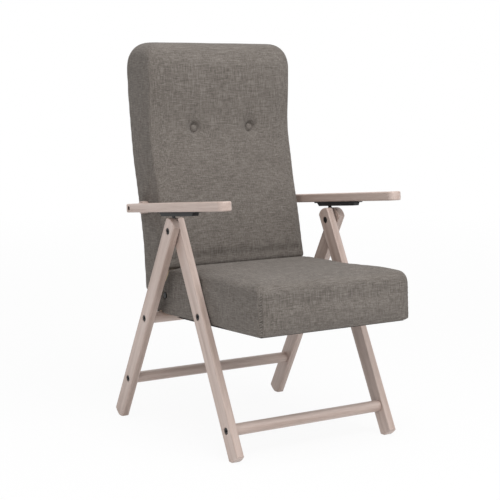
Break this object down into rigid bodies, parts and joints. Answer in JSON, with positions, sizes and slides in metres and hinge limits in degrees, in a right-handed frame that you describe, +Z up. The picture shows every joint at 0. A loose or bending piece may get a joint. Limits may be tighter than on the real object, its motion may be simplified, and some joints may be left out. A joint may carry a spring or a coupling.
{
  "type": "folding recliner chair",
  "caption": "Folding wooden recliner: crossed flat legs, flat arms on notched racks, and a deep upholstered seat with a tall button-tufted back.",
  "frame": {"origin": "centre of the bounding box in plan, at floor level", "axes": "+Z up, -Y the way the sitter faces, +X to the right of someone who faces the chair's front"},
  "size_m": [0.59, 0.7263, 1.095],
  "materials": {
    "lacquered_wood": "satin lacquer, pale taupe",
    "frame_wood": "raw inner frame timber",
    "cover_fabric": "grey-taupe melange weave",
    "foam": "upholstery foam",
    "webbing": "elastic webbing",
    "dust_fabric": "non-woven underside sheet",
    "black_steel": "black coated",
    "rack_plastic": "black moulded"
  },
  "bodies": {
    "front_frame": {"apex_bolts": "black_steel", "apex_nuts": "black_steel", "apex_washers": "black_steel", "front_leg_left": "lacquered_wood", "front_leg_right": "lacquered_wood", "front_stretcher": "lacquered_wood", "front_stretcher_bolts": "black_steel", "latch_plate_left": "black_steel", "latch_plate_right": "black_steel", "seat_pivot_bolts": "black_steel"},
    "rear_frame": {"rear_leg_left": "lacquered_wood", "rear_leg_right": "lacquered_wood", "rear_lower_stretcher": "lacquered_wood", "rear_stretcher_bolts": "black_steel", "rear_upper_stretcher": "lacquered_wood"},
    "seat": {"ear_cover_left": "cover_fabric", "ear_cover_right": "cover_fabric", "seat_cover": "cover_fabric", "seat_dust_cover": "dust_fabric", "seat_foam": "foam", "seat_frame_screws": "black_steel", "seat_front_rail": "frame_wood", "seat_pivot_washers": "black_steel", "seat_rail_left": "frame_wood", "seat_rail_right": "frame_wood", "seat_rear_rail": "frame_wood", "seat_webbing": "webbing"},
    "back_hinge": {"hinge_bolts": "black_steel", "hinge_discs": "black_steel", "hinge_washers": "black_steel"},
    "back": {"back_bottom_rail": "frame_wood", "back_cover": "cover_fabric", "back_foam": "foam", "back_middle_rail": "frame_wood", "back_stile_left": "frame_wood", "back_stile_right": "frame_wood", "back_top_rail": "frame_wood", "back_webbing": "webbing", "tuft_buttons": "cover_fabric", "tuft_cords": "webbing"},
    "left_arm_pin": {"arm_bolt_left": "black_steel"},
    "left_arm_disc": {"arm_spacer_left": "lacquered_wood"},
    "left_arm": {"arm_board_left": "lacquered_wood", "arm_rack_left": "rack_plastic", "rack_screws_left": "black_steel"},
    "right_arm_pin": {"arm_bolt_right": "black_steel"},
    "right_arm_disc": {"arm_spacer_right": "lacquered_wood"},
    "right_arm": {"arm_board_right": "lacquered_wood", "arm_rack_right": "rack_plastic", "rack_screws_right": "black_steel"}
  },
  "joints": [
    {"name": "seat_fold", "type": "hinge", "parent": "front_frame", "child": "seat", "pos_m": [0, -0.0812, 0.35856], "axis": [1, 0, 0], "range_deg": [0, 57.6]},
    {"name": "rear_frame_fold", "type": "hinge", "parent": "front_frame", "child": "rear_frame", "pos_m": [0, 0.0339, 0.5806], "axis": [-1, 0, 0], "range_deg": [0, 47.1]},
    {"name": "back_hinge_turn", "type": "hinge", "parent": "seat", "child": "back_hinge", "pos_m": [0, 0.1472, 0.383], "axis": [-1, 0, 0], "range_deg": [0, 57.7]},
    {"name": "back_recline", "type": "hinge", "parent": "back_hinge", "child": "back", "pos_m": [0, 0.1472, 0.383], "axis": [-1, 0, 0], "range_deg": [0, 28]},
    {"name": "left_arm_pin_turn", "type": "hinge", "parent": "back", "child": "left_arm_pin", "pos_m": [-0.275, 0.2499, 0.626], "axis": [1, 0, 0], "range_deg": [0, 15.95]},
    {"name": "left_arm_fold", "type": "hinge", "parent": "left_arm_pin", "child": "left_arm_disc", "pos_m": [-0.275, 0.2499, 0.626], "axis": [1, 0, 0], "range_deg": [0, 40.1]},
    {"name": "left_arm_lift", "type": "hinge", "parent": "left_arm_disc", "child": "left_arm", "pos_m": [-0.275, 0.2499, 0.626], "axis": [-1, 0, 0], "range_deg": [0, 12]},
    {"name": "right_arm_pin_turn", "type": "hinge", "parent": "back", "child": "right_arm_pin", "pos_m": [0.275, 0.2499, 0.626], "axis": [1, 0, 0], "range_deg": [0, 15.95]},
    {"name": "right_arm_fold", "type": "hinge", "parent": "right_arm_pin", "child": "right_arm_disc", "pos_m": [0.275, 0.2499, 0.626], "axis": [1, 0, 0], "range_deg": [0, 40.1]},
    {"name": "right_arm_lift", "type": "hinge", "parent": "right_arm_disc", "child": "right_arm", "pos_m": [0.275, 0.2499, 0.626], "axis": [-1, 0, 0], "range_deg": [0, 12]}
  ],
  "couplings": [
    {"joint": "rear_frame_fold", "follows": "seat_fold", "ratio": 0.81597},
    {"joint": "back_hinge_turn", "follows": "seat_fold", "ratio": 1},
    {"joint": "left_arm_pin_turn", "follows": "back_recline", "ratio": 0.566},
    {"joint": "left_arm_fold", "follows": "seat_fold", "ratio": 0.69444},
    {"joint": "right_arm_pin_turn", "follows": "back_recline", "ratio": 0.566},
    {"joint": "right_arm_fold", "follows": "seat_fold", "ratio": 0.69444}
  ]
}
